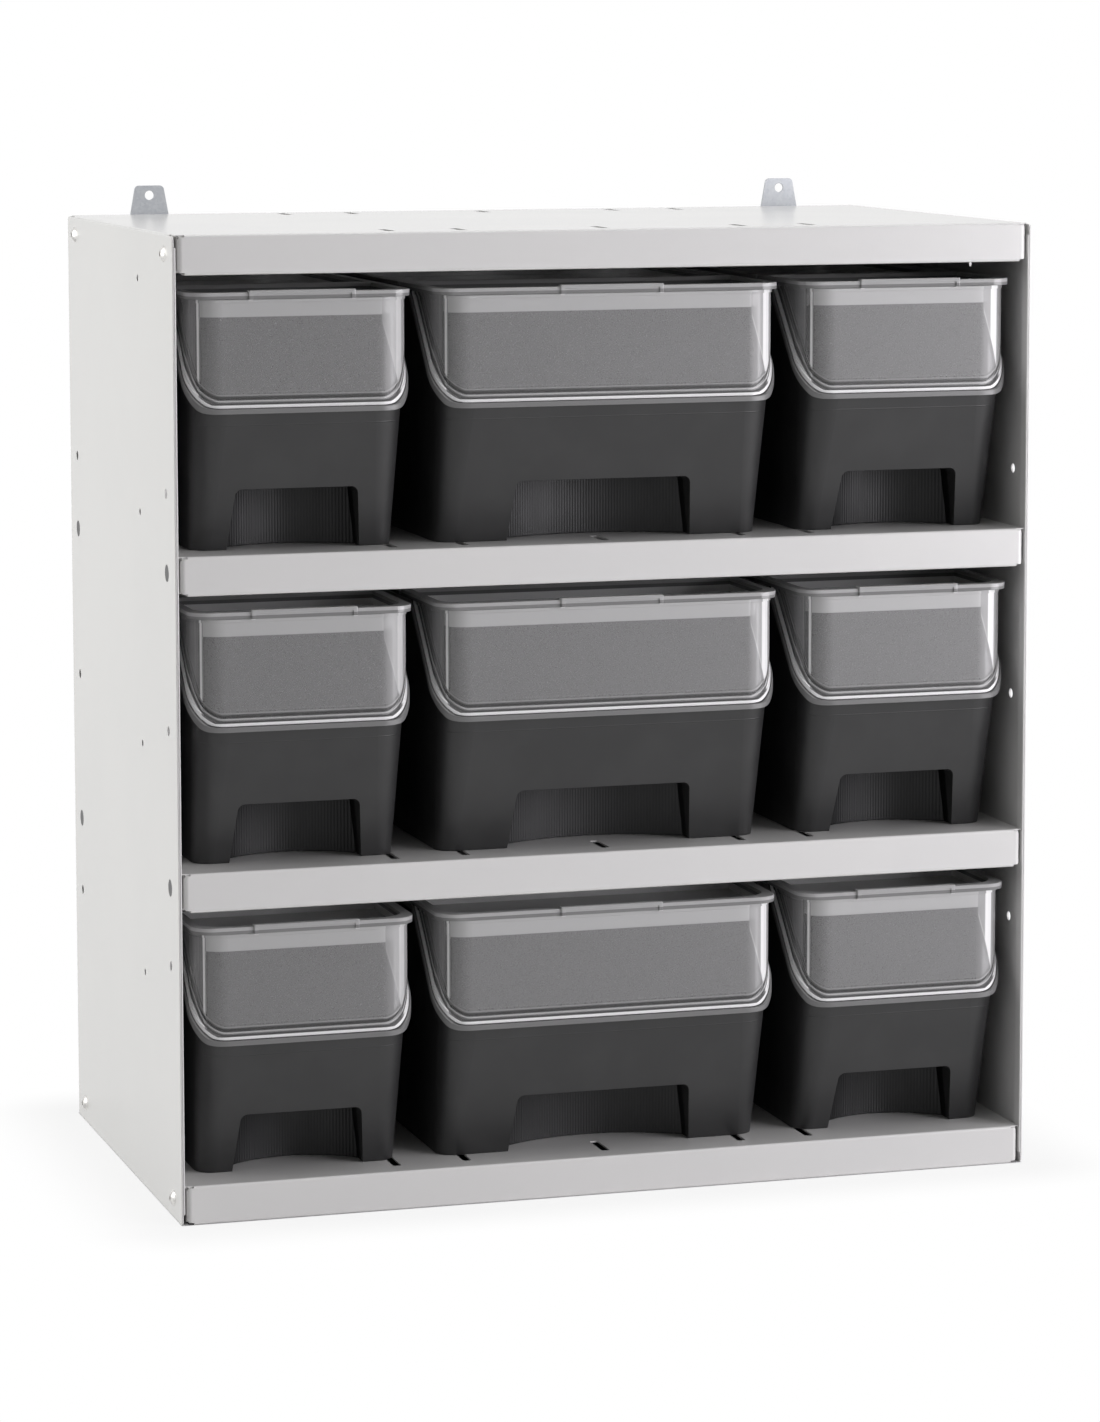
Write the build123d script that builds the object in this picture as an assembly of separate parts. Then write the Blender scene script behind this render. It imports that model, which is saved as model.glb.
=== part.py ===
from build123d import *
from math import radians, tan
import os

# A wall rack of nine covered bins. Sizes are in millimetres. X runs to the right, Y to the
# back and Z up. A depth is measured backwards from the plane of the tray fronts.

# Rack
rack_width = 732.0
rack_depth = 420.0
shelf_pitch = 256.0
sheet = 1.5
bend_radius = 2.0
tray_flange = 32.0
tray_lip = 12.0
tray_corner_radius = 4.0
tray_corner_return = 15.0
tray_side_start = 18.0
tray_side_gap = 0.2
tray_front_gap = 1.7
tray_relief_radius = 1.4
panel_drop = 1.0
panel_corner_radius = 4.0
panel_edge_radius = 0.8
hem_width = 12.0
hem_end = 9.0
hem_groove = 0.3
hem_groove_depth = 1.0
back_sheet = 1.0

# Hole columns and rows in the side panels
front_column = 31.0
rear_column_inset = 30.0
middle_column = 131.0
spare_pitch = 192.0
spare_hole_radius = 4.0
small_hole_radius = 2.75
small_hole_drop = 8.0

# Slots in the trays
slot_positions = [-180.0, -120.0, 0.0, 120.0, 180.0]
slot_length = 34.0
slot_width = 7.0
slot_corner_radius = 1.5
slot_inset = 20.0

# Fasteners
screw_radius = 3.0
screw_hole_gap = 0.3
screw_length = 12.0
screw_head_radius = 6.75
screw_head_height = 3.3
socket_across_flats = 4.0
socket_depth = 1.8
nut_across_flats = 10.0
nut_height = 5.0
thread_gap = 0.05
stud_disc_radius = 6.8
stud_disc_gap = 0.2
stud_shank_radius = 3.9
stud_shank_gap = 0.1
stud_head_radius = 6.0
stud_head_height = 2.0
rivet_radius = 2.4
rivet_gap = 0.1
rivet_head_radius = 4.75
rivet_head_height = 1.5
rivet_tail_radius = 3.5
rivet_tail_height = 1.5
rivet_end_inset = 26.0
rivet_middle = 120.0

# Wall brackets
bracket_inset = 73.0
bracket_width = 34.0
bracket_top_width = 25.0
bracket_rise = 25.0
bracket_tail = 30.0
bracket_thickness = 2.0
bracket_corner_radius = 4.0
bracket_foot_radius = 3.0
bracket_hole_radius = 4.1
bracket_hole_rise = 16.5
bracket_rivet_spacing = 18.0

# Bins: depths from the tray fronts, heights from the shelf that a bin stands on
narrow_lid_width = 186.0
bin_gap = 19.0
side_clearance = 12.0
narrow_recess_half = 55.5
wide_recess_half = 79.5
foot_gap = 0.3
wall = 2.2
floor = 2.5
lip_front = 2.0
bin_rear_gap = 0.5
lip_height = 4.0
lip_overhang = 4.0
lip_spread = 1.0
base_inset = 9.0
base_front = 40.0
base_rear_inset = 12.0
front_rim = 116.5
top_rim = 203.8
cheek_start = 6.2
cheek_angle = 47.2
cheek_radius = 9.0
base_corner_radius = 15.0
body_corner_radius = 26.0

# Hand recess under the front of each tub
recess_height = 50.0
recess_slope = 5.0
recess_corner_radius = 6.0
recess_side_depth = 56.0
recess_depth = 80.0

# Clear hood on the front of each tub
hood_inset = 2.0
hood_front = 6.0
hood_wall = 2.2
hood_gap = 0.2
hood_bead = 1.2
hood_bead_height = 2.8
hood_rim = 1.0
hood_rim_height = 6.5
hood_top_bead = 0.8

# Clear flap lid and rear cover
lid_front = 3.5
lid_gap = 0.3
lid_height = 5.4
lid_wall = 1.5
lid_corner_radius = 18.0
plug_gap = 0.8
plug_front_gap = 2.3
plug_depth = 14.0
recess_panel_drop = 12.0
plug_corner_radius = 22.5
hinge_depth = 121.9
hinge_gap = 2.9
hinge_barrel = 2.5
hinge_pin = 1.5
hinge_pin_gap = 0.1
hinge_inset = 26.5
knuckle_length = 12.0
knuckle_gap = 0.5
flap_plug_inset = 4.5
tab_half_width = 44.0
tab_rise = 1.5
tab_reach = 2.0
tab_depth = 7.0
tab_rib = 3.5
tab_rib_drop = 0.8

# Worked-out sizes and places
tray_names = ["bottom_shelf", "lower_shelf", "upper_shelf", "top_panel"]
row_names = ["bottom", "middle", "top"]
tray_tops = [tray_flange + row * shelf_pitch for row in range(len(tray_names))]
rack_height = tray_tops[-1]
inner_half = rack_width / 2 - sheet
side_half = inner_half - tray_side_gap
hem_half = inner_half - sheet
front_half = hem_half - tray_front_gap
body_depth = rack_depth - back_sheet
rear_column = rack_depth - rear_column_inset
screw_columns = [front_column, rear_column]
overall_depth = rack_depth + bracket_thickness + rivet_head_height
front_y = -overall_depth / 2
screw_rows = [tray_tops[0] - tray_flange / 2, tray_tops[-1] - tray_flange / 2]
stud_rows = [top - tray_flange / 2 for top in tray_tops[1:-1]]
spare_rows = [screw_rows[0] + step * spare_pitch for step in (1, 2, 3)]
small_rows = [step * spare_pitch - small_hole_drop for step in (1, 2, 3, 4)]
lip_rear = body_depth - bin_rear_gap
lid_bottom = top_rim + lid_gap
lid_top = lid_bottom + lid_height
hinge_z = (lid_bottom + lid_top) / 2 - lid_gap
flap_rear = hinge_depth - hinge_gap
cover_front = hinge_depth + hinge_gap
narrow_centre = inner_half - side_clearance - narrow_lid_width / 2
wide_lid_width = 2 * narrow_centre - narrow_lid_width - 2 * bin_gap
rivet_end = rack_width / 2 - rivet_end_inset
rivet_positions = [-rivet_end, -rivet_middle, rivet_middle, rivet_end]
bracket_offset = rack_width / 2 - bracket_inset
far = 2 * rack_depth


def yAt(depth):
    return front_y + depth


def block(x, depth, z):
    centre = Pos((x[0] + x[1]) / 2, yAt((depth[0] + depth[1]) / 2), (z[0] + z[1]) / 2)
    return centre * Box(x[1] - x[0], depth[1] - depth[0], z[1] - z[0])


def rodX(x, depth, z, radius):
    place = Pos((x[0] + x[1]) / 2, yAt(depth), z) * Rot(0, 90, 0)
    return place * Cylinder(radius, x[1] - x[0])


def rodY(x, depth, z, radius):
    place = Pos(x, yAt((depth[0] + depth[1]) / 2), z) * Rot(90, 0, 0)
    return place * Cylinder(radius, depth[1] - depth[0])


def domeCap(radius, height):
    # a shallow dome on the plane Z = 0
    ball = (radius ** 2 + height ** 2) / (2 * height)
    above = Pos(0, 0, height) * Box(3 * ball, 3 * ball, 2 * height)
    return (Pos(0, 0, height - ball) * Sphere(ball)) & above


def folded(points, radius, plane):
    # bent sheet: the points run along its outer face, with the sheet on their right
    with BuildSketch(plane) as section:
        with BuildLine():
            FilletPolyline(*points, radius=radius)
            offset(amount=sheet, side=Side.RIGHT)
        make_face()
    return section.sketch


def bothSides(shape):
    return shape + mirror(shape, about=Plane.YZ)


# Trays: one folded sheet each, open at the underside

def makeTray(top, hole_radius):
    low = top - tray_flange
    main_half = front_half - tray_corner_radius - sheet
    points = [(yAt(tray_lip), low), (yAt(0), low), (yAt(0), top)]
    points += [(yAt(body_depth), top), (yAt(body_depth), low), (yAt(body_depth - tray_lip), low)]
    tray = extrude(folded(points, bend_radius, Plane.YZ), main_half, both=True)

    side_points = [(-side_half, low), (-side_half, top), (-main_half + sheet, top)]
    side_end = body_depth - tray_side_start
    side_plane = Plane(origin=(0, yAt(side_end), 0), x_dir=(1, 0, 0), z_dir=(0, -1, 0))
    tray += bothSides(extrude(folded(side_points, bend_radius, side_plane), side_end - tray_side_start))

    edge_half = hem_half - tray_side_gap
    for ends in ((bend_radius, tray_side_start), (side_end, body_depth - bend_radius)):
        tray += bothSides(block((-edge_half, -main_half), ends, (top - sheet, top)))

    corner = [(-main_half + sheet, yAt(0)), (-front_half, yAt(0)), (-front_half, yAt(tray_corner_return))]
    corner_plane = Plane.XY.offset(low + bend_radius)
    corner_face = folded(corner, tray_corner_radius, corner_plane)
    return_piece = extrude(corner_face, tray_flange - bend_radius - sheet)
    tray += bothSides(return_piece)

    relief = (-sheet, tray_corner_radius + sheet)
    for z in (top - bend_radius, low + bend_radius):
        tray -= bothSides(rodY(-front_half, relief, z, tray_relief_radius))

    for x in slot_positions:
        for end in (slot_inset, body_depth - slot_inset - slot_length):
            slot = RectangleRounded(slot_width, slot_length, slot_corner_radius)
            slot = Pos(x, yAt(end + slot_length / 2), top - 2 * sheet) * slot
            tray -= extrude(slot, 3 * sheet)

    for depth in screw_columns:
        tray -= rodX((-far, far), depth, top - tray_flange / 2, hole_radius)
    for x in rivet_positions:
        tray -= rivetHole(x, top - tray_flange / 2)
    return tray


def rivetHole(x, z):
    return rodY(x, (body_depth - 2 * tray_lip, far), z, rivet_radius + rivet_gap)


# Side panels: sheet with a flattened fold along the front edge

def makeLeftPanel():
    height = rack_height - panel_drop
    outline = RectangleRounded(rack_depth, height, panel_corner_radius)
    outline = Pos(yAt(rack_depth / 2), height / 2) * outline
    panel = extrude(Plane.YZ.offset(-rack_width / 2) * outline, sheet)
    hem_span = (hem_end, height - hem_end)
    panel += block((-inner_half, -hem_half), (0, hem_width), hem_span)
    seam = (-inner_half - hem_groove / 2, -inner_half + hem_groove / 2)
    panel -= block(seam, (-1, hem_groove_depth), hem_span)
    front_edges = panel.edges().filter_by(Axis.Z).group_by(Axis.Y)[0].sort_by(Axis.X)
    panel = fillet([front_edges[0], front_edges[-1]], panel_edge_radius)

    holes = [(depth, z, screw_radius + screw_hole_gap) for depth in screw_columns for z in screw_rows]
    holes += [(depth, z, stud_disc_radius + stud_disc_gap) for depth in screw_columns for z in stud_rows]
    holes += [(depth, z, spare_hole_radius) for depth in screw_columns for z in spare_rows]
    holes += [(middle_column, z, small_hole_radius) for z in small_rows]
    for depth, z, radius in holes:
        panel -= rodX((-far, 0), depth, z, radius)
    return panel


def makeBackPanel():
    z = (tray_side_gap, rack_height - panel_drop)
    panel = block((-side_half, side_half), (body_depth, rack_depth), z)
    for top in tray_tops:
        for x in rivet_positions:
            panel -= rivetHole(x, top - tray_flange / 2)
    for x in bracketRivets():
        panel -= rivetHole(x, rack_height - tray_flange / 2)
    return panel


# Wall brackets: flat straps riveted behind the top panel

def bracketRivets():
    spread = bracket_rivet_spacing / 2
    return [side * bracket_offset + step for side in (-1, 1) for step in (-spread, spread)]


def makeBracket(side):
    top = rack_height + bracket_rise
    foot = rack_height - bracket_tail
    half = bracket_width / 2
    top_half = bracket_top_width / 2
    outline = [(-half, foot), (half, foot), (half, rack_height)]
    outline += [(top_half, top), (-top_half, top), (-half, rack_height)]
    face = make_face(Polyline(*outline, close=True))
    corners = face.vertices().group_by(Axis.Y)
    face = fillet(corners[-1], bracket_corner_radius)
    face = fillet(face.vertices().group_by(Axis.Y)[0], bracket_foot_radius)
    plane = Plane(origin=(0, yAt(rack_depth + bracket_thickness), 0), x_dir=(1, 0, 0), z_dir=(0, -1, 0))
    strap = extrude(plane * face, bracket_thickness)
    strap -= rodY(0, (0, far), rack_height + bracket_hole_rise, bracket_hole_radius)
    strap = Pos(side * bracket_offset, 0, 0) * strap
    for x in bracketRivets():
        strap -= rivetHole(x, rack_height - tray_flange / 2)
    return strap


# Fasteners, each built along +Z from the face that its head sits on

def makeScrew():
    screw = domeCap(screw_head_radius, screw_head_height)
    screw += Pos(0, 0, -screw_length / 2) * Cylinder(screw_radius, screw_length)
    socket = RegularPolygon(socket_across_flats / 2, 6, major_radius=False)
    return screw - extrude(Plane.XY.offset(screw_head_height - socket_depth) * socket, screw_head_height)


def makeNut():
    nut = extrude(RegularPolygon(nut_across_flats / 2, 6, major_radius=False), nut_height)
    return nut - Cylinder(screw_radius + thread_gap, 3 * nut_height)


def makeStud():
    reach = sheet + tray_side_gap
    stud = Pos(0, 0, -reach / 2) * Cylinder(stud_disc_radius, reach)
    shank = reach + sheet
    stud += Pos(0, 0, -shank / 2) * Cylinder(stud_shank_radius, shank)
    return stud + Pos(0, 0, -shank - stud_head_height / 2) * Cylinder(stud_head_radius, stud_head_height)


def makeRivet(stack):
    rivet = domeCap(rivet_head_radius, rivet_head_height)
    rivet += Pos(0, 0, -stack / 2) * Cylinder(rivet_radius, stack)
    return rivet + Pos(0, 0, -stack - rivet_tail_height / 2) * Cylinder(rivet_tail_radius, rivet_tail_height)


def onSides(piece, inset, rows):
    # copies on both side panels, with the piece's +Z pointing out of the rack
    face = rack_width / 2 - inset
    out = []
    for side in (-1, 1):
        for depth in screw_columns:
            for z in rows:
                out.append(Pos(side * face, yAt(depth), z) * Rot(0, side * 90, 0) * piece)
    return out


def onBack(piece, depth, places):
    return [Pos(x, yAt(depth), z) * Rot(-90, 0, 0) * piece for x, z in places]


# Bins

def planOutline(half, depth, radius):
    width = depth[1] - depth[0]
    return Pos(0, yAt((depth[0] + depth[1]) / 2)) * RectangleRounded(2 * half, width, radius)


def planBlock(half, depth, radius, z):
    return extrude(Plane.XY.offset(z[0]) * planOutline(half, depth, radius), z[1] - z[0])


def taper(low, high):
    # each end is (half width, (front depth, rear depth), corner radius, height)
    faces = [Plane.XY.offset(end[3]) * planOutline(*end[:3]) for end in (low, high)]
    return loft(faces, ruled=True)


def rimPoints():
    rise = (top_rim - front_rim) / tan(radians(cheek_angle))
    line = [(yAt(-rack_depth), front_rim), (yAt(cheek_start), front_rim)]
    return line + [(yAt(cheek_start + rise), top_rim), (yAt(far), top_rim)]


def rimBand(amount):
    # a band along the rim line: below it when the amount is positive, above it when negative
    with BuildSketch(Plane.YZ) as section:
        with BuildLine():
            FilletPolyline(*rimPoints(), radius=cheek_radius)
            offset(amount=abs(amount), side=Side.RIGHT if amount > 0 else Side.LEFT)
        make_face()
    return extrude(section.sketch, rack_width, both=True)


def aboveRim(lift=0.0):
    with BuildSketch(Plane.YZ) as section:
        with BuildLine():
            rim = FilletPolyline(*rimPoints(), radius=cheek_radius)
            roof = 2 * top_rim
            Polyline(rim @ 0, (yAt(-rack_depth), roof), (yAt(far), roof), rim @ 1)
        make_face()
    return Pos(0, 0, lift) * extrude(section.sketch, rack_width, both=True)


def recessShape(recess_half, grow):
    # the hand recess, or with grow the same space with a wall round it
    height = recess_height + grow
    half = recess_half + grow
    slope = recess_slope
    side = [(-half, -floor), (half, -floor), (half - slope, height), (slope - half, height)]
    face = make_face(Polyline(*side, close=True))
    face = fillet(face.vertices().group_by(Axis.Y)[-1], recess_corner_radius)
    plane = Plane(origin=(0, yAt(far), 0), x_dir=(1, 0, 0), z_dir=(0, -1, 0))
    tunnel = extrude(plane * face, 2 * far)

    near = recess_side_depth + grow
    deep = recess_depth + grow
    with BuildSketch(Plane.XY.offset(-floor)) as plan:
        with BuildLine():
            Line((-half, yAt(near)), (-half, yAt(-near)))
            Line((-half, yAt(-near)), (half, yAt(-near)))
            Line((half, yAt(-near)), (half, yAt(near)))
            ThreePointArc((half, yAt(near)), (0, yAt(deep)), (-half, yAt(near)))
        make_face()
    return tunnel & extrude(plan.sketch, 2 * height)


def bodyHalf(half, z):
    base = half - base_inset
    top = half + lip_spread - lip_overhang
    return base + (top - base) * z / top_rim


def makeTub(half, recess_half):
    knee = front_rim - lip_height
    knee_front = lip_front + lip_overhang
    rear_base = lip_rear - base_rear_inset
    rear_top = lip_rear - lip_overhang
    lean = (base_front - knee_front) / knee

    base = (bodyHalf(half, 0), (base_front, rear_base), base_corner_radius, 0)
    middle = (bodyHalf(half, knee), (knee_front, rear_top), body_corner_radius, knee)
    top = (bodyHalf(half, top_rim), (knee_front, rear_top), body_corner_radius, top_rim)
    tub = taper(base, middle) + taper(middle, top)
    tub -= aboveRim()
    lip_radius = body_corner_radius + lip_overhang
    lip = planBlock(half + lip_spread, (lip_front, lip_rear), lip_radius, (0, top_rim))
    tub += lip & rimBand(lip_height)

    inner_front = base_front - lean * floor + wall
    inner_radius = body_corner_radius - wall
    inner_base = (base[0] - wall, (inner_front, rear_base - wall), base_corner_radius - wall, floor)
    inner_middle = (middle[0] - wall, (knee_front + wall, rear_top - wall), inner_radius, knee)
    inner_top = (top[0] - wall, inner_middle[1], inner_radius, top_rim + 1)
    cavity = taper(inner_base, inner_middle) + taper(inner_middle, inner_top)
    cavity -= recessShape(recess_half, wall)
    return tub - cavity - recessShape(recess_half, 0)


def makeHood(half):
    outer_half = half - hood_inset
    rear = lip_rear - hood_inset
    span = (0, top_rim)

    def ring(grow, inner_grow):
        outer = planBlock(outer_half + grow, (hood_front - grow, rear), body_corner_radius + grow, span)
        thick = hood_wall + inner_grow
        inner_depth = (hood_front + thick, rear - thick)
        inner_radius = body_corner_radius - thick
        return outer - planBlock(outer_half - thick, inner_depth, inner_radius, (-1, top_rim + 1))

    cap = block((-half, half), (-far, far), (top_rim - hood_bead_height, top_rim))
    hood = ring(0, 0)
    hood += ring(hood_bead, 0) & rimBand(-hood_bead_height)
    hood += ring(0, hood_rim) & rimBand(-hood_rim_height)
    hood += ring(hood_top_bead, 0) & cap
    cheek_end = cheek_start + (top_rim - front_rim) / tan(radians(cheek_angle))
    hood &= block((-half, half), (-far, cheek_end - hood_wall), (0, top_rim))
    return hood & aboveRim(hood_gap)


def lidShell(half, rim_depth, plug_depths):
    # a rim with a plug below it and a sunk panel inside the plug, between two depths
    wide = (-half, half)
    lid_depth = (lid_front, lip_rear)
    rim_z = (lid_bottom, lid_top)
    plug_half = half + lip_spread - lip_overhang - wall - plug_gap
    plug_front = hood_front + hood_wall + plug_front_gap
    plug_z = (lid_bottom - plug_depth, lid_top)
    plug_span = (plug_front, lip_rear - lip_overhang - wall - plug_gap)

    def plugBlock(inset, z):
        depth = (plug_span[0] + inset, plug_span[1] - inset)
        return planBlock(plug_half - inset, depth, plug_corner_radius - inset, z)

    rim = planBlock(half, lid_depth, lid_corner_radius, rim_z) & block(wide, rim_depth, rim_z)
    hollow_depth = (lid_depth[0] + lid_wall, lid_depth[1] - lid_wall)
    hollow_z = (lid_bottom - 1, lid_top - lid_wall)
    hollow = planBlock(half - lid_wall, hollow_depth, lid_corner_radius - lid_wall, hollow_z)
    hollow &= block(wide, (rim_depth[0] + lid_wall, rim_depth[1] - lid_wall), hollow_z)
    shell = rim - hollow
    shell += plugBlock(0, plug_z) & block(wide, plug_depths, plug_z)
    panel_top = lid_top - recess_panel_drop
    walls = (plug_depths[0] + lid_wall, plug_depths[1] - lid_wall)
    for z in ((panel_top, lid_top + 1), (plug_z[0] - 1, panel_top - lid_wall)):
        shell -= plugBlock(lid_wall, z) & block(wide, walls, z)
    return shell


def makeFlap(half):
    bar_end = half - hinge_inset - knuckle_gap
    pin_end = half - hinge_inset + knuckle_length + knuckle_gap
    flap = lidShell(half, (-far, flap_rear), (-far, flap_rear - flap_plug_inset))
    flap += rodX((-bar_end, bar_end), hinge_depth, hinge_z, hinge_barrel)
    web_z = (hinge_z - hinge_barrel / 2, hinge_z + hinge_barrel / 2)
    flap += block((-bar_end, bar_end), (flap_rear - lid_wall, hinge_depth), web_z)
    flap += rodX((-pin_end, pin_end), hinge_depth, hinge_z, hinge_pin)

    tab_front = lid_front - tab_reach
    tab_z = (lid_bottom, lid_top + tab_rise)
    tab = block((-tab_half_width, tab_half_width), (tab_front, tab_front + tab_depth), tab_z)
    ends = tab.edges().filter_by(Axis.Z).group_by(Axis.Y)[0]
    tab = fillet(ends, tab_reach / 2)
    inner = tab_half_width - tab_rib
    hollow_z = (tab_z[0] - 1, lid_top - lid_wall)
    tab -= block((-inner, inner), (tab_front - 1, tab_front + tab_reach / 2), hollow_z)
    flap += tab
    rib_z = (lid_bottom - tab_rib_drop, lid_bottom + 1)
    rib_depth = (tab_front + tab_reach / 2, lid_front + lid_wall)
    return flap + bothSides(block((-tab_half_width, -inner), rib_depth, rib_z))


def makeCover(half):
    start = half - hinge_inset
    cover = lidShell(half, (cover_front, far), (cover_front + flap_plug_inset, far))
    span = (start, start + knuckle_length)
    knuckle = rodX(span, hinge_depth, hinge_z, hinge_barrel)
    web_z = (hinge_z - hinge_barrel, hinge_z + hinge_barrel / 2)
    knuckle += block(span, (hinge_depth, cover_front + lid_wall), web_z)
    knuckle -= rodX((start - 1, span[1] + 1), hinge_depth, hinge_z, hinge_pin + hinge_pin_gap)
    return cover + bothSides(knuckle)


def save(name, shape):
    export_step(shape, "parts/" + name + ".step")


def makeRack():
    for name, top in zip(tray_names, tray_tops):
        outer = name in (tray_names[0], tray_names[-1])
        hole = screw_radius + screw_hole_gap if outer else stud_shank_radius + stud_shank_gap
        tray = makeTray(top, hole)
        if name == tray_names[-1]:
            for x in bracketRivets():
                tray -= rivetHole(x, top - tray_flange / 2)
        save(name, tray)

    left = makeLeftPanel()
    save("left_side_panel", left)
    save("right_side_panel", mirror(left, about=Plane.YZ))
    save("back_panel", makeBackPanel())
    save("left_wall_bracket", makeBracket(-1))
    save("right_wall_bracket", makeBracket(1))
    save("side_screws", Compound(onSides(makeScrew(), 0, screw_rows)))
    nut_inset = sheet + tray_side_gap + sheet + nut_height
    save("weld_nuts", Compound(onSides(makeNut(), nut_inset, screw_rows)))
    save("shelf_studs", Compound(onSides(makeStud(), 0, stud_rows)))

    rivet_places = [(x, top - tray_flange / 2) for top in tray_tops for x in rivet_positions]
    back_rivet = makeRivet(sheet + back_sheet)
    save("back_panel_rivets", Compound(onBack(back_rivet, rack_depth, rivet_places)))
    strap_places = [(x, rack_height - tray_flange / 2) for x in bracketRivets()]
    strap_rivet = makeRivet(sheet + back_sheet + bracket_thickness)
    save("bracket_rivets", Compound(onBack(strap_rivet, rack_depth + bracket_thickness, strap_places)))


def makeBins():
    kinds = {
        "left": (-narrow_centre, narrow_lid_width / 2, narrow_recess_half),
        "centre": (0.0, wide_lid_width / 2, wide_recess_half),
        "right": (narrow_centre, narrow_lid_width / 2, narrow_recess_half),
    }
    built = {}
    for place, (x, half, recess_half) in kinds.items():
        if half not in built:
            built[half] = {
                "tub": makeTub(half, recess_half),
                "hood": makeHood(half),
                "flap_lid": makeFlap(half),
                "rear_cover": makeCover(half),
            }
        for row, top in zip(row_names, tray_tops):
            for piece, shape in built[half].items():
                name = row + "_" + place + "_bin_" + piece
                save(name, Pos(x, 0, top + foot_gap) * shape)


os.makedirs("parts", exist_ok=True)
makeRack()
makeBins()
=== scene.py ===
import math
import bmesh
import bpy
from mathutils import Matrix, Vector


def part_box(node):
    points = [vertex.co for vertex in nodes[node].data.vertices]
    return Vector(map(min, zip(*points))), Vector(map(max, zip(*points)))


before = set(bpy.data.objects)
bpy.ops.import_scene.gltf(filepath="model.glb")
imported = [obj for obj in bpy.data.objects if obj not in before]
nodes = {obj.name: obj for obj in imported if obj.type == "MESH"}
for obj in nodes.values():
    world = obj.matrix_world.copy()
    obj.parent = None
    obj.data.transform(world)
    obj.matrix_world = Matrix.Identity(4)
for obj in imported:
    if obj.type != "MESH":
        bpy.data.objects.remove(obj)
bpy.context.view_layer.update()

print("frame loaded:", len(nodes), "nodes")

# places that the finishes share, in metres
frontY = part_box("top_panel")[0].y                     # plane of the shelf fronts
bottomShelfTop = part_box("bottom_shelf")[1].z
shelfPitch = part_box("lower_shelf")[1].z - bottomShelfTop
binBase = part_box("bottom_centre_bin_tub")[0].z
narrowCentre = sum(corner.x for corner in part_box("bottom_right_bin_tub")) / 2


class Signal:
    # wraps a shader socket, so that sums on it add their own Math nodes
    def __init__(self, finish, socket):
        self.finish = finish
        self.socket = socket

    def maths(self, operation, *others):
        return self.finish.add("ShaderNodeMath", {"operation": operation}, [self, *others])

    def swapped(self, operation, other):
        return self.finish.add("ShaderNodeMath", {"operation": operation}, [other, self])

    def __add__(self, other):
        return self.maths("ADD", other)

    def __sub__(self, other):
        return self.maths("SUBTRACT", other)

    def __mul__(self, other):
        return self.maths("MULTIPLY", other)

    def __truediv__(self, other):
        return self.maths("DIVIDE", other)

    def __mod__(self, other):
        return self.maths("FLOORED_MODULO", other)

    def __pow__(self, other):
        return self.maths("POWER", other)

    def __gt__(self, other):
        return self.maths("GREATER_THAN", other)

    def __lt__(self, other):
        return self.maths("LESS_THAN", other)

    def __abs__(self):
        return self.maths("ABSOLUTE")

    def __radd__(self, other):
        return self + other

    def __rmul__(self, other):
        return self * other

    def __rsub__(self, other):
        return self.swapped("SUBTRACT", other)


class Finish:
    # one material, built node by node
    def __init__(self, name):
        self.material = bpy.data.materials.new(name)
        self.material.use_nodes = True
        self.tree = self.material.node_tree
        self.tree.nodes.clear()
        self.place = self.add("ShaderNodeTexCoord", output="Object")

    def add(self, kind, settings=None, inputs=None, output=0):
        node = self.tree.nodes.new(kind)
        for key, value in (settings or {}).items():
            setattr(node, key, value)
        pairs = inputs.items() if isinstance(inputs, dict) else enumerate(inputs or [])
        for key, value in pairs:
            if isinstance(value, Signal):
                self.tree.links.new(value.socket, node.inputs[key])
            else:
                node.inputs[key].default_value = value
        return Signal(self, node.outputs[output])

    def axes(self):
        split = self.add("ShaderNodeSeparateXYZ", inputs=[self.place]).socket.node
        return [Signal(self, socket) for socket in split.outputs]

    def noise(self, size, detail=2.0, stretch=None):
        place = self.place
        if stretch:
            place = self.add("ShaderNodeVectorMath", {"operation": "MULTIPLY"}, [place, stretch])
        inputs = {"Vector": place, "Scale": 1 / size, "Detail": detail}
        return self.add("ShaderNodeTexNoise", {}, inputs)

    def step(self, value, low, high):
        settings = {"interpolation_type": "SMOOTHSTEP"}
        return self.add("ShaderNodeMapRange", settings, {0: value, 1: low, 2: high})

    def mix(self, factor, first, second):
        inputs = {0: factor, 6: first, 7: second}
        return self.add("ShaderNodeMix", {"data_type": "RGBA"}, inputs, output=2)

    def bump(self, height, depth, strength=1.0, normal=None):
        inputs = {"Height": height, "Distance": depth, "Strength": strength}
        if normal:
            inputs["Normal"] = normal
        return self.add("ShaderNodeBump", {}, inputs)

    def soften(self, radius):
        return self.add("ShaderNodeBevel", {"samples": 4}, {"Radius": radius})

    def surface(self, values):
        shader = self.add("ShaderNodeBsdfPrincipled", {}, values)
        end = self.tree.nodes.new("ShaderNodeOutputMaterial")
        self.tree.links.new(shader.socket, end.inputs["Surface"])
        return self.material


# powder-coated sheet steel
sheetLook = {
    "colour": (0.735, 0.73, 0.72, 1),
    "shade": (0.72, 0.716, 0.708, 1),
    "patchSize": 0.16,
    "patchSoft": (0.35, 0.65),
    "peelSize": 0.0011,
    "peelDepth": 0.00002,
    "grainSize": 0.00035,
    "grainShare": 0.35,
    "bumpStrength": 0.6,
    "roughness": 0.2,
    "roughnessSpread": 0.08,
    "edge": 0.0006,
}


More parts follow.
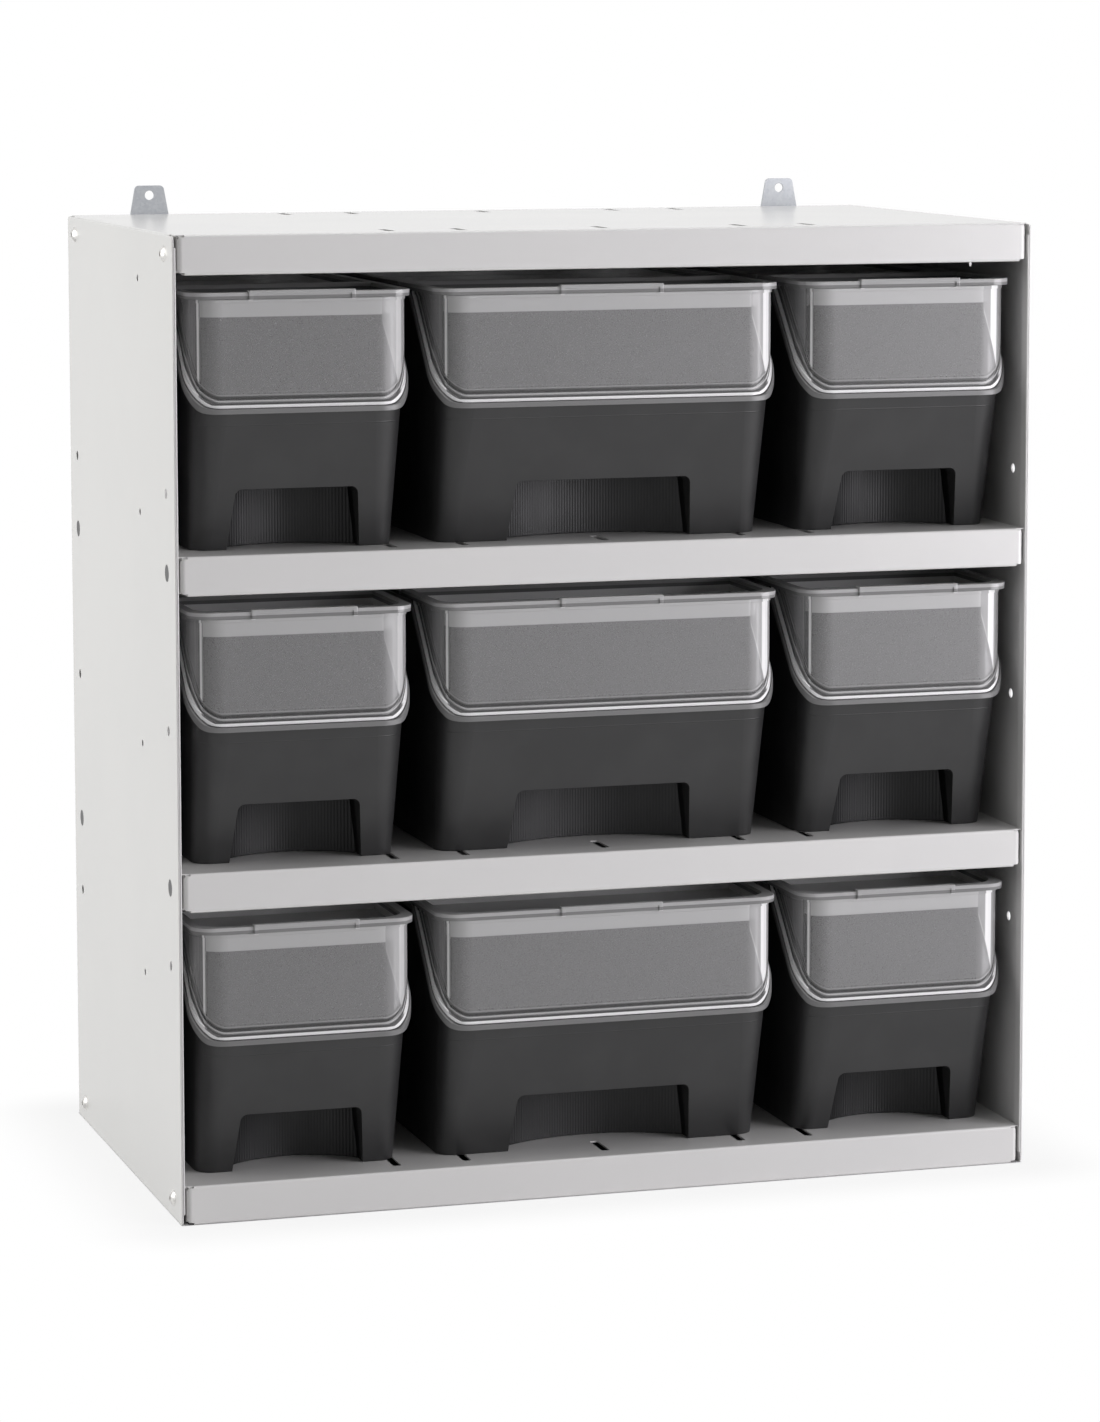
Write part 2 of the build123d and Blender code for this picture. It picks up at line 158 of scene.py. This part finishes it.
def makeSheetFinish(look):
    finish = Finish("powderCoat")
    patch = finish.noise(look["patchSize"], detail=3)
    peel = finish.noise(look["peelSize"], detail=2)
    grain = finish.noise(look["grainSize"], detail=1)
    height = peel + grain * look["grainShare"]
    shade = finish.step(patch, *look["patchSoft"])
    edge = finish.soften(look["edge"])
    return finish.surface({
        "Base Color": finish.mix(shade, look["colour"], look["shade"]),
        "Roughness": look["roughness"] + (peel - 0.5) * look["roughnessSpread"],
        "Normal": finish.bump(height, look["peelDepth"], look["bumpStrength"], edge),
    })


# hot-dip zinc on the wall straps
strapLook = {
    "pale": (0.55, 0.57, 0.59, 1),
    "dark": (0.45, 0.47, 0.50, 1),
    "spangleSize": 0.0022,
    "fineSize": 0.0006,
    "fineShare": 0.2,
    "metallic": 0.4,
    "roughness": 0.55,
    "roughnessSpread": 0.1,
    "reliefDepth": 0.00002,
    "fineRelief": 0.3,
    "bumpStrength": 0.5,
    "edge": 0.0005,
}


def makeStrapFinish(look):
    finish = Finish("zincSpangle")
    cells = {"Vector": finish.place, "Scale": 1 / look["spangleSize"]}
    crystal = finish.add("ShaderNodeTexVoronoi", {}, cells, output="Color")
    tone = finish.add("ShaderNodeSeparateColor", {}, [crystal])
    fine = finish.noise(look["fineSize"], detail=3)
    spangle = tone * (1 - look["fineShare"]) + fine * look["fineShare"]
    relief = tone + fine * look["fineRelief"]
    edge = finish.soften(look["edge"])
    return finish.surface({
        "Base Color": finish.mix(spangle, look["dark"], look["pale"]),
        "Metallic": look["metallic"],
        "Roughness": look["roughness"] + (tone - 0.5) * look["roughnessSpread"],
        "Normal": finish.bump(relief, look["reliefDepth"], look["bumpStrength"], edge),
    })


# bright zinc on the screws and nuts, plain aluminium on the rivets
metalLooks = {
    "screwZinc": {"colour": (0.72, 0.71, 0.69, 1), "dull": (0.46, 0.45, 0.44, 1), "roughness": 0.3},
    "rivetMetal": {"colour": (0.72, 0.72, 0.73, 1), "dull": (0.55, 0.55, 0.56, 1), "roughness": 0.38},
}
metalWear = {
    "size": 0.004,
    "soft": (0.4, 0.7),
    "scratchSize": 0.0004,
    "scratchStretch": (1, 6, 1),
    "scratchDepth": 0.000015,
    "bumpStrength": 0.4,
    "roughnessSpread": 0.2,
    "edge": 0.0003,
}


def makeMetalFinish(name, look, wear):
    finish = Finish(name)
    worn = finish.step(finish.noise(wear["size"], detail=4), *wear["soft"])
    scratch = finish.noise(wear["scratchSize"], detail=2, stretch=wear["scratchStretch"])
    edge = finish.soften(wear["edge"])
    return finish.surface({
        "Base Color": finish.mix(worn, look["colour"], look["dull"]),
        "Metallic": 1.0,
        "Roughness": look["roughness"] + (scratch - 0.5) * wear["roughnessSpread"],
        "Normal": finish.bump(scratch, wear["scratchDepth"], wear["bumpStrength"], edge),
    })


# dark moulded plastic of the shelf studs
studLook = {
    "colour": (0.03, 0.03, 0.032, 1),
    "worn": (0.05, 0.05, 0.052, 1),
    "grainSize": 0.0005,
    "grainDepth": 0.00003,
    "bumpStrength": 0.6,
    "roughness": 0.42,
    "roughnessSpread": 0.2,
    "edge": 0.0004,
}


def makeStudFinish(look):
    finish = Finish("studPlastic")
    grain = finish.noise(look["grainSize"], detail=2)
    edge = finish.soften(look["edge"])
    return finish.surface({
        "Base Color": finish.mix(grain, look["colour"], look["worn"]),
        "Roughness": look["roughness"] + (grain - 0.5) * look["roughnessSpread"],
        "Normal": finish.bump(grain, look["grainDepth"], look["bumpStrength"], edge),
    })


# the bins: lengths as on the moulding, from the front plane and from the bin's foot
binLook = {
    "wide": {"half": 0.1475, "recessHalf": 0.0795},
    "narrow": {"half": 0.093, "recessHalf": 0.0555},
    "lipFront": 0.002,
    "lipSpread": 0.001,
    "lipRadius": 0.03,
    "lipBand": 0.0012,
    "lipEdge": 0.0002,
    "lipHeight": 0.006,
    "frontRim": 0.1165,
    "cheekStart": 0.0062,
    "cheekSlope": 1.08,
    "hoodFront": 0.006,
    "hoodInset": 0.002,
    "hoodRadius": 0.026,
    "recessHeight": 0.0515,
    "recessMouth": 0.046,
    "recessEnd": 0.1,
    "ribPitch": 0.0024,
    "ribDepth": 0.0002,
    "ribStrength": 0.8,
}


def binAxes(finish, kind):
    # across from the bin's middle, depth from the front plane, height above the bin's foot
    x, y, z = finish.axes()
    if kind == "narrow":
        x = x - x.maths("SIGN") * narrowCentre
    return x, y - frontY, (z - binBase) % shelfPitch


tubLook = {
    "colour": (0.017, 0.017, 0.0175, 1),
    "worn": (0.023, 0.023, 0.0235, 1),
    # painted shade: the deep recess in the tub's foot is painted darker
    "recess": (0.027, 0.027, 0.0275, 1),
    # painted highlight along the lip's rounded outer edge
    "lip": (0.17, 0.17, 0.17, 1),
    "grainSize": 0.0007,
    "grainDepth": 0.00006,
    "grainStrength": 0.5,
    "flowSize": 0.05,
    "flowSoft": (0.35, 0.7),
    "scuffSize": 0.012,
    "scuffStretch": (1, 1, 0.3),
    "roughness": 0.46,
    "scuffRoughness": 0.14,
    "lipGloss": 0.12,
    "edge": 0.0008,
    "stepDrop": 0.0135,
    "stepWidth": 0.0006,
    "stepDepth": 0.0003,
    "stepStrength": 0.6,
    "stepReach": 0.02,
}


def makeTubFinish(kind, look, sizes):
    finish = Finish(kind + "TubPlastic")
    offset, depth, height = binAxes(finish, kind)
    across = abs(offset)
    # a painted highlight: a pale, glossier band along the lip's outer edge
    radius = sizes["lipRadius"]
    sideways = (across - (sizes[kind]["half"] + sizes["lipSpread"] - radius)).maths("MAXIMUM", 0.0)
    forwards = (sizes["lipFront"] + radius - depth).maths("MAXIMUM", 0.0)
    reach = (sideways ** 2.0 + forwards ** 2.0) ** 0.5
    lipInner = radius - sizes["lipBand"]
    lip = finish.step(reach, lipInner - sizes["lipEdge"], lipInner)
    lip = lip * (height > sizes["frontRim"] - sizes["lipHeight"])

    recess = (depth > sizes["recessMouth"]) * (height < sizes["recessHeight"])
    recess = recess * (across < sizes[kind]["recessHalf"]) * (depth < sizes["recessEnd"])
    rib = abs((across / sizes["ribPitch"]) % 1.0 - 0.5) * recess

    mouldStep = abs(height - (sizes["frontRim"] - look["stepDrop"]))
    mouldStep = finish.step(mouldStep, look["stepWidth"], 0.0) * (depth < look["stepReach"])
    grain = finish.noise(look["grainSize"], detail=2)
    flow = finish.step(finish.noise(look["flowSize"], detail=3), *look["flowSoft"])
    scuff = finish.noise(look["scuffSize"], detail=5, stretch=look["scuffStretch"])
    base = finish.mix(flow, look["colour"], look["worn"])
    normal = finish.bump(grain, look["grainDepth"], look["grainStrength"], finish.soften(look["edge"]))
    normal = finish.bump(rib * 2.0, sizes["ribDepth"], sizes["ribStrength"], normal)
    normal = finish.bump(mouldStep, look["stepDepth"], look["stepStrength"], normal)
    return finish.surface({
        # the recess is painted darker as shade, by a dark colour made metallic so that it takes no
        # diffuse light
        "Base Color": finish.mix(lip, finish.mix(recess, base, look["recess"]), look["lip"]),
        "Metallic": recess,
        "Roughness": look["roughness"] + (scuff - 0.5) * look["scuffRoughness"] - lip * look["lipGloss"],
        "Normal": normal,
    })


# clear plastic of the hoods: a frosted front that ends part way round the corners, clear cheeks, and
# painted light and shade: bands along the moulded rim, painted pale where its edges gather the light and
# dark where the tub's wall shows through, a pale band painted where the lid's plug wall shows through,
# painted reflections down the left corners, and a painted paler corner, slanting line and glare at the
# corner turned to the lamp. Turns are degrees round the corner from the front. The bands are measured
# from the tub's lip and the plug wall's band from the bin's foot. The slant leans by degrees for a metre
# of height.
hoodLook = {
    "frost": (0.55, 0.55, 0.552, 1),
    "frostSpot": (0.538, 0.538, 0.54, 1),
    "frostOpacity": 0.33,
    "frostGrain": 0.0013,
    "frostSoft": (0.35, 0.65),
    "clear": (0.44, 0.44, 0.442, 1),
    "clearOpacity": 0.27,
    "frostEnd": 40.0,
    "frostFade": 1.5,
    # painted reflections: thin bright lines down the left corners
    "lines": [
        {"low": 42.0, "high": 47.0, "colour": (0.92, 0.92, 0.92, 1), "opacity": 0.85},
        {"low": 61.0, "high": 64.0, "colour": (0.55, 0.55, 0.55, 1), "opacity": 0.30},
    ],
    "slant": {"start": 50.6, "lean": 688.0},
    # painted light at the corner turned to the lamp: a paler corner, a bright slanting line and a glare
    "corner": {"colour": (0.62, 0.62, 0.62, 1), "opacity": 0.42},
    "slantLine": {"colour": (0.85, 0.85, 0.85, 1), "opacity": 0.42, "half": 2.2},
    "glare": {"colour": (0.94, 0.94, 0.94, 1), "opacity": 0.88},
    "glareEnds": {"wide": (30.0, 50.0), "right": (20.0, 37.0), "left": (33.0, 50.0)},
    "glareSoft": 1.5,
    "leftGlare": 0.45,
    "cornerStart": (2.0, 5.0),
    "slantStart": (3.0, 6.0),
    "turnSoft": 1.0,
    "cheekTurn": (40.0, 75.0),
    "cheekSpread": 1.0,
    # painted light: a pale band where the lid's plug wall shows through and gathers the light
    "topBand": {"colour": (0.80, 0.80, 0.80, 1), "opacity": 0.5, "low": 0.1898, "high": 0.2034},
    "topBandEnds": (-41.0, 8.0),
    # painted light and shade along the rim: pale bands where its edges gather the light, dark bands for
    # the tub's dark wall seen through it
    "bands": [
        {"low": 0.0002, "high": 0.0030, "colour": (0.97, 0.97, 0.97, 1), "opacity": 0.97, "fade": 0.2},
        {"low": 0.0033, "high": 0.0050, "colour": (0.10, 0.10, 0.10, 1), "opacity": 0.60, "fade": 0.3},
        {"low": 0.0056, "high": 0.0067, "colour": (0.66, 0.66, 0.66, 1), "opacity": 0.60, "fade": 0.1},
        {"low": 0.0071, "high": 0.0101, "colour": (0.12, 0.12, 0.12, 1), "opacity": 0.45, "fade": 0.5},
        {"low": 0.0104, "high": 0.0114, "colour": (0.60, 0.60, 0.60, 1), "opacity": 0.45, "fade": 0.5},
    ],
    "softness": 0.0003,
    "sheen": 1.6,
    "roughness": 0.07,
    "frostRoughness": 0.3,
    "waveSize": 0.02,
    "waveDepth": 0.0004,
    "waveStrength": 0.12,
    "edge": 0.0006,
}
plasticIndex = 1.5    # index of refraction of the clear plastics


def between(finish, value, low, high, softness):
    rising = finish.step(value, low - softness, low + softness)
    return rising * finish.step(value, high + softness, high - softness)


def lampMarks(finish, kind, look, turn, rise, toLamp):
    # painted light at the corner turned to the lamp: a painted paler corner, a painted bright slanting
    # line where it starts and a painted glare
    low, high = look["glareEnds"]["wide"]
    strength = toLamp
    if kind == "narrow":
        onRight = finish.axes()[0] > 0.0
        ends = zip(look["glareEnds"]["left"], look["glareEnds"]["right"])
        low, high = [left + onRight * (right - left) for left, right in ends]
        strength = toLamp * (look["leftGlare"] + onRight * (1 - look["leftGlare"]))
    past = turn - look["slant"]["start"] + rise * look["slant"]["lean"]
    behind = finish.step(past, -look["turnSoft"], look["turnSoft"])
    corner = behind * finish.step(turn, *look["cornerStart"]) * toLamp
    line = finish.step(abs(past), look["slantLine"]["half"], 0.0)
    line = line * finish.step(turn, *look["slantStart"]) * strength
    glare = behind * between(finish, turn, low, high, look["glareSoft"]) * strength
    return (corner, look["corner"]), (line, look["slantLine"]), (glare, look["glare"])


def makeHoodFinish(kind, look, sizes):
    finish = Finish(kind + "HoodPlastic")
    offset, depth, height = binAxes(finish, kind)
    rise = height - sizes["frontRim"]
    radius = sizes["hoodRadius"]
    sideways = (abs(offset) - (sizes[kind]["half"] - sizes["hoodInset"] - radius)).maths("MAXIMUM", 0.0)
    forwards = (sizes["hoodFront"] + radius - depth).maths("MAXIMUM", 0.0)
    turn = sideways.maths("ARCTAN2", forwards) * math.degrees(1)
    climb = (depth - sizes["cheekStart"]).maths("MAXIMUM", 0.0) * sizes["cheekSlope"]
    steepness = (sideways / radius).maths("MINIMUM", 1.0) * sizes["cheekSlope"]
    back = finish.step(turn, *look["cheekTurn"])
    above = (rise - climb) / (steepness ** 2.0 + 1.0) ** 0.5
    above = above / (1 + back * look["cheekSpread"])

    grain = finish.noise(look["frostGrain"], detail=3)
    frosted = finish.mix(finish.step(grain, *look["frostSoft"]), look["frost"], look["frostSpot"])
    frost = finish.step(turn, look["frostEnd"] + look["frostFade"], look["frostEnd"] - look["frostFade"])
    colour = finish.mix(frost, look["clear"], frosted)
    opacity = look["clearOpacity"] + frost * (look["frostOpacity"] - look["clearOpacity"])

    # painted light where the lid's plug wall shows through and gathers the light
    topBand = look["topBand"]
    sweep = turn * offset.maths("SIGN")
    topMark = between(finish, height, topBand["low"], topBand["high"], look["softness"])
    topMark = topMark * between(finish, sweep, *look["topBandEnds"], look["turnSoft"])
    corner, slantLine, glare = lampMarks(finish, kind, look, turn, rise, offset > 0.0)
    marks = [(topMark, topBand), corner]
    # painted reflections down the left corners
    for line in look["lines"]:
        upright = between(finish, turn, line["low"], line["high"], look["turnSoft"])
        marks.append((upright * (offset < 0.0), line))
    marks += [slantLine, glare]
    # painted highlights and shade along the rim
    for band in look["bands"]:
        strip = between(finish, above, band["low"], band["high"], look["softness"])
        marks.append((strip * (1 - back * band["fade"]), band))
    for mask, mark in marks:
        colour = finish.mix(mask, colour, mark["colour"])
        opacity = opacity + (mark["opacity"] - opacity) * mask

    grazing = finish.add("ShaderNodeFresnel", {}, {"IOR": plasticIndex})
    opacity = opacity + (1 - opacity) * (grazing * look["sheen"]).maths("MINIMUM", 1.0)
    wave = finish.noise(look["waveSize"], detail=3)
    edge = finish.soften(look["edge"])
    return finish.surface({
        "Base Color": colour,
        "Roughness": look["roughness"] + frost * (look["frostRoughness"] - look["roughness"]),
        "Alpha": opacity,
        "Normal": finish.bump(wave, look["waveDepth"], look["waveStrength"], edge),
    })


# clear plastic of the lids: rims and plug walls are seen edge on and gather the light, which is painted
# into them as a pale colour, and the rim's foot is painted darker as shade; heights from the bin's foot
lidLook = {
    "pane": (0.72, 0.72, 0.722, 1),
    "wall": (0.92, 0.92, 0.92, 1),
    "rim": (0.52, 0.52, 0.52, 1),
    "rimFoot": (0.26, 0.26, 0.26, 1),
    "footHigh": 0.2066,
    "paneOpacity": 0.5,
    "wallOpacity": 0.95,
    "rimOpacity": 0.78,
    "wallLow": 0.1893,
    "wallHigh": 0.2036,
    "rimHigh": 0.2092,
    "uprightSoft": (0.3, 0.7),
    "sheen": 2.0,
    "roughness": 0.08,
    "roughnessSpread": 0.06,
    "grainSize": 0.0009,
    "waveSize": 0.02,
    "waveDepth": 0.0004,
    "waveStrength": 0.1,
    "edge": 0.0006,
}


def makeLidFinish(look):
    finish = Finish("lidPlastic")
    height = binAxes(finish, "wide")[2]
    facing = finish.add("ShaderNodeNewGeometry", output="Normal")
    upright = finish.add("ShaderNodeSeparateXYZ", inputs=[facing], output="Z")
    side = 1 - finish.step(abs(upright), *look["uprightSoft"])
    # painted light: plug walls and rims seen edge on are painted pale
    wall = (height > look["wallLow"]) * (height < look["wallHigh"]) * side
    rim = (height > look["wallHigh"]) * (height < look["rimHigh"]) * side
    wave = finish.noise(look["waveSize"], detail=3)
    grain = finish.noise(look["grainSize"], detail=2)
    edge = finish.soften(look["edge"])
    # painted light and shade on the rim: pale on top, darker at its foot
    rimTone = finish.mix(height > look["footHigh"], look["rimFoot"], look["rim"])
    colour = finish.mix(rim, finish.mix(wall, look["pane"], look["wall"]), rimTone)
    opacity = look["paneOpacity"] + wall * (look["wallOpacity"] - look["paneOpacity"])
    opacity = opacity + rim * (look["rimOpacity"] - look["paneOpacity"])
    grazing = finish.add("ShaderNodeFresnel", {}, {"IOR": plasticIndex})
    opacity = opacity + (1 - opacity) * (grazing * look["sheen"]).maths("MINIMUM", 1.0)
    return finish.surface({
        "Base Color": colour,
        "Roughness": look["roughness"] + (grain - 0.5) * look["roughnessSpread"],
        "Alpha": opacity,
        "Normal": finish.bump(wave, look["waveDepth"], look["waveStrength"], edge),
    })


def dress(node, material):
    slots = nodes[node].data.materials
    slots.clear()
    slots.append(material)


sheetFinish = makeSheetFinish(sheetLook)
strapFinish = makeStrapFinish(strapLook)
screwFinish = makeMetalFinish("screwZinc", metalLooks["screwZinc"], metalWear)
rivetFinish = makeMetalFinish("rivetMetal", metalLooks["rivetMetal"], metalWear)
studFinish = makeStudFinish(studLook)
tubFinishes = {kind: makeTubFinish(kind, tubLook, binLook) for kind in ("wide", "narrow")}
hoodFinishes = {kind: makeHoodFinish(kind, hoodLook, binLook) for kind in ("wide", "narrow")}
lidFinish = makeLidFinish(lidLook)
print("finishes made")

for name in nodes:
    kind = "wide" if "centre" in name else "narrow"
    if name.endswith("tub"):
        dress(name, tubFinishes[kind])
    elif name.endswith("hood"):
        dress(name, hoodFinishes[kind])
    elif name.endswith(("flap_lid", "rear_cover")):
        dress(name, lidFinish)
    elif name.endswith("bracket"):
        dress(name, strapFinish)
    elif name in ("side_screws", "weld_nuts"):
        dress(name, screwFinish)
    elif name.endswith("rivets"):
        dress(name, rivetFinish)
    elif name == "shelf_studs":
        dress(name, studFinish)
    else:
        dress(name, sheetFinish)
print("nodes dressed")


# the studio: a pale floor that is white to the camera away from the rack's shadow, and three softboxes
studio = {
    "floorHalf": 9.0,
    "floorColour": (0.8, 0.8, 0.8, 1),
    "rackHalf": (0.366, 0.212),
    "glowNear": 0.82,
    "glowReach": 0.1,
    "worldColour": (1.0, 1.0, 1.0, 1),
    "worldStrength": 0.12,
}
lamps = {
    "rightSoftbox": {
        "place": (2.1, -1.9, 0.75),
        "size": (2.0, 1.4),
        "power": 59,
        "colour": (0.985, 0.965, 1),
    },
    "topSoftbox": {
        "place": (0.1, -0.1, 3.0),
        "size": (2.6, 2.6),
        "power": 38,
        "colour": (1, 0.99, 1),
    },
    "leftSoftbox": {
        "place": (-2.9, 0.45, 1.3),
        "size": (1.8, 2.0),
        "power": 43,
        "colour": (1, 0.995, 0.97),
    },
}
lampTarget = (0, 0, 0.4)


def seenDirectly(tree):
    # 1 where the camera looks straight, in a mirror or through clear plastic
    path = tree.nodes.new("ShaderNodeLightPath")
    total = path.outputs["Is Camera Ray"]
    for kind in ("Is Glossy Ray", "Is Transmission Ray"):
        larger = tree.nodes.new("ShaderNodeMath")
        larger.operation = "MAXIMUM"
        tree.links.new(total, larger.inputs[0])
        tree.links.new(path.outputs[kind], larger.inputs[1])
        total = larger.outputs[0]
    return total


def makeFloor(look):
    shape = bmesh.new()
    bmesh.ops.create_grid(shape, x_segments=1, y_segments=1, size=look["floorHalf"])
    mesh = bpy.data.meshes.new("floor")
    shape.to_mesh(mesh)
    shape.free()
    floor = bpy.data.objects.new("floor", mesh)
    bpy.context.scene.collection.objects.link(floor)
    finish = Finish("paleFloor")
    across, along = finish.axes()[:2]
    seen = Signal(finish, seenDirectly(finish.tree))
    sides = zip((across, along), look["rackHalf"])
    beyond = [(abs(axis) - half).maths("MAXIMUM", 0.0) for axis, half in sides]
    away = (beyond[0] ** 2.0 + beyond[1] ** 2.0) ** 0.5
    white = finish.add("ShaderNodeEmission", {}, {"Color": (1, 1, 1, 1), "Strength": 1.0})
    card = finish.add("ShaderNodeBsdfDiffuse", {}, {"Color": look["floorColour"]})
    glow = look["glowNear"] + finish.step(away, 0.0, look["glowReach"]) * (1 - look["glowNear"])
    glow = glow * seen * (away > 0.0)
    blend = finish.add("ShaderNodeMixShader", {}, [glow, card, white])
    end = finish.tree.nodes.new("ShaderNodeOutputMaterial")
    finish.tree.links.new(blend.socket, end.inputs["Surface"])
    mesh.materials.append(finish.material)


def makeWorld(look):
    world = bpy.data.worlds.new("studioAir")
    world.use_nodes = True
    tree = world.node_tree
    tree.nodes.clear()
    shades = []
    for strength in (look["worldStrength"], 1.0):
        air = tree.nodes.new("ShaderNodeBackground")
        air.inputs["Color"].default_value = look["worldColour"]
        air.inputs["Strength"].default_value = strength
        shades.append(air)
    blend = tree.nodes.new("ShaderNodeMixShader")
    tree.links.new(seenDirectly(tree), blend.inputs[0])
    tree.links.new(shades[0].outputs[0], blend.inputs[1])
    tree.links.new(shades[1].outputs[0], blend.inputs[2])
    end = tree.nodes.new("ShaderNodeOutputWorld")
    tree.links.new(blend.outputs[0], end.inputs["Surface"])
    bpy.context.scene.world = world


def makeLamp(name, look, target):
    lamp = bpy.data.lights.new(name, "AREA")
    lamp.shape = "RECTANGLE"
    lamp.size, lamp.size_y = look["size"]
    lamp.energy = look["power"]
    lamp.color = look["colour"]
    holder = bpy.data.objects.new(name, lamp)
    holder.location = look["place"]
    holder.rotation_euler = (target - Vector(look["place"])).to_track_quat("-Z", "Y").to_euler()
    bpy.context.scene.collection.objects.link(holder)


makeFloor(studio)
makeWorld(studio)
for lampName, lampLook in lamps.items():
    makeLamp(lampName, lampLook, Vector(lampTarget))
print("studio set")

# the camera stands to the left and above, as far off as in the photograph
cameraLook = {
    "place": (-1.1778, -3.8955, 0.9663),
    "yaw": 0.29607,
    "pitch": 0.11434,
    "roll": -0.0014,
    "lens": 120.42,
    "sensor": 36,
    "shiftY": -0.0998,
    "farEnd": 60,
}


def makeCamera(look):
    yaw, pitch, roll = look["yaw"], look["pitch"], look["roll"]
    flat = math.cos(pitch)
    ahead = Vector((math.sin(yaw) * flat, math.cos(yaw) * flat, -math.sin(pitch)))
    level = Vector((math.cos(yaw), -math.sin(yaw), 0))
    upright = level.cross(ahead)
    right = level * math.cos(roll) + upright * math.sin(roll)
    up = upright * math.cos(roll) - level * math.sin(roll)
    lens = bpy.data.cameras.new("camera")
    lens.lens = look["lens"]
    lens.sensor_width = look["sensor"]
    lens.shift_y = look["shiftY"]
    lens.clip_end = look["farEnd"]
    camera = bpy.data.objects.new("camera", lens)
    turn = Matrix((right, up, -ahead)).transposed().to_4x4()
    camera.matrix_world = Matrix.Translation(look["place"]) @ turn
    bpy.context.scene.collection.objects.link(camera)
    bpy.context.scene.camera = camera


makeCamera(cameraLook)
bpy.context.scene.view_settings.view_transform = "Standard"
print("camera set")
